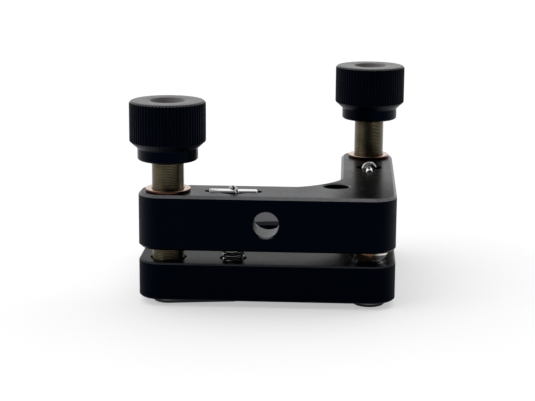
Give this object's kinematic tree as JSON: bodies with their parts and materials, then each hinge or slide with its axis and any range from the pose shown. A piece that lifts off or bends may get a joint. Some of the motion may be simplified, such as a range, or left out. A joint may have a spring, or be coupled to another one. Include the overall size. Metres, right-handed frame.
{
  "type": "kinematic mirror mount",
  "caption": "Kinematic mirror mount: L-shaped back plate, square front plate with an optic bore, pivot ball, two fine-thread adjusters with knurled knobs and extension springs.",
  "frame": {"origin": "on the optic axis, in the front plate's front face, where the optic goes in", "axes": "+Z from the front face towards the knobs, +X along the near leg of the L from adjuster A to the pivot, +Y from the pivot to adjuster B"},
  "size_m": [0.0548, 0.0548, 0.0424],
  "materials": {
    "black_anodised": "black anodised, satin",
    "black_knob": "black anodised, satin, knurled",
    "bronze": "turned bronze",
    "steel_pin": "ground dowel steel",
    "spring_steel": "drawn spring wire",
    "ball_steel": "polished hardened steel",
    "seat_steel": "ground hardened steel",
    "stainless": "fine rolled thread, stainless",
    "black_oxide": "black oxide steel",
    "nylon": "natural nylon"
  },
  "bodies": {
    "back_plate": {"back_plate": "black_anodised", "bushing_a": "bronze", "bushing_b": "bronze", "back_spring_pin_a": "steel_pin", "back_spring_pin_b": "steel_pin", "spring_a": "spring_steel", "spring_b": "spring_steel"},
    "pivot_ball": {"pivot_ball": "ball_steel"},
    "front_plate": {"front_plate": "black_anodised", "cone_seat": "seat_steel", "vee_seat": "seat_steel", "flat_seat": "seat_steel", "front_spring_pin_a": "steel_pin", "front_spring_pin_b": "steel_pin"},
    "tip_ball_a": {"tip_ball_a": "ball_steel"},
    "adjuster_a": {"screw_a": "stainless", "knob_a": "black_knob", "knob_set_screw_a": "black_oxide"},
    "tip_ball_b": {"tip_ball_b": "ball_steel"},
    "adjuster_b": {"screw_b": "stainless", "knob_b": "black_knob", "knob_set_screw_b": "black_oxide"},
    "nylon_tip": {"nylon_tip": "nylon"},
    "optic_set_screw": {"optic_set_screw": "black_oxide"}
  },
  "joints": [
    {"name": "tilt_a", "type": "hinge", "parent": "back_plate", "child": "pivot_ball", "pos_m": [0.0202, -0.0202, 0.0108], "axis": [0, 0.9997, -0.0256], "range_deg": [-4, 2.6], "deforming": ["spring_a"]},
    {"name": "tilt_b", "type": "hinge", "parent": "pivot_ball", "child": "front_plate", "pos_m": [0.0202, -0.0202, 0.0108], "axis": [0.9965, 0, 0.0831], "range_deg": [-4, 2.6], "deforming": ["spring_b"]},
    {"name": "travel_a", "type": "slide", "parent": "back_plate", "child": "tip_ball_a", "axis": [0, 0, 1], "range_m": [-0.00278, 0.00181]},
    {"name": "turn_a", "type": "hinge", "parent": "tip_ball_a", "child": "adjuster_a", "pos_m": [-0.0196, -0.0202, 0.00748], "axis": [0, 0, 1], "range_deg": [-3150.5, 2047.8]},
    {"name": "travel_b", "type": "slide", "parent": "back_plate", "child": "tip_ball_b", "axis": [0, 0, 1], "range_m": [-0.00278, 0.00181]},
    {"name": "turn_b", "type": "hinge", "parent": "tip_ball_b", "child": "adjuster_b", "pos_m": [0.0202, 0.0196, 0.00978], "axis": [0, 0, 1], "range_deg": [-3150.5, 2047.8]},
    {"name": "optic_screw_travel", "type": "slide", "parent": "front_plate", "child": "nylon_tip", "axis": [1, 0, 0], "range_m": [-0.0015, 0.001]},
    {"name": "optic_screw_turn", "type": "hinge", "parent": "nylon_tip", "child": "optic_set_screw", "pos_m": [-0.025, 0, 0.0032], "axis": [1, 0, 0], "range_deg": [-680.4, 453.6]}
  ],
  "couplings": [
    {"joint": "turn_a", "follows": "travel_a", "rad_per_m": 19790},
    {"joint": "tilt_a", "follows": "travel_a", "rad_per_m": 25.126},
    {"joint": "turn_b", "follows": "travel_b", "rad_per_m": 19790},
    {"joint": "tilt_b", "follows": "travel_b", "rad_per_m": 25.126},
    {"joint": "optic_screw_turn", "follows": "optic_screw_travel", "rad_per_m": 7915.8}
  ]
}
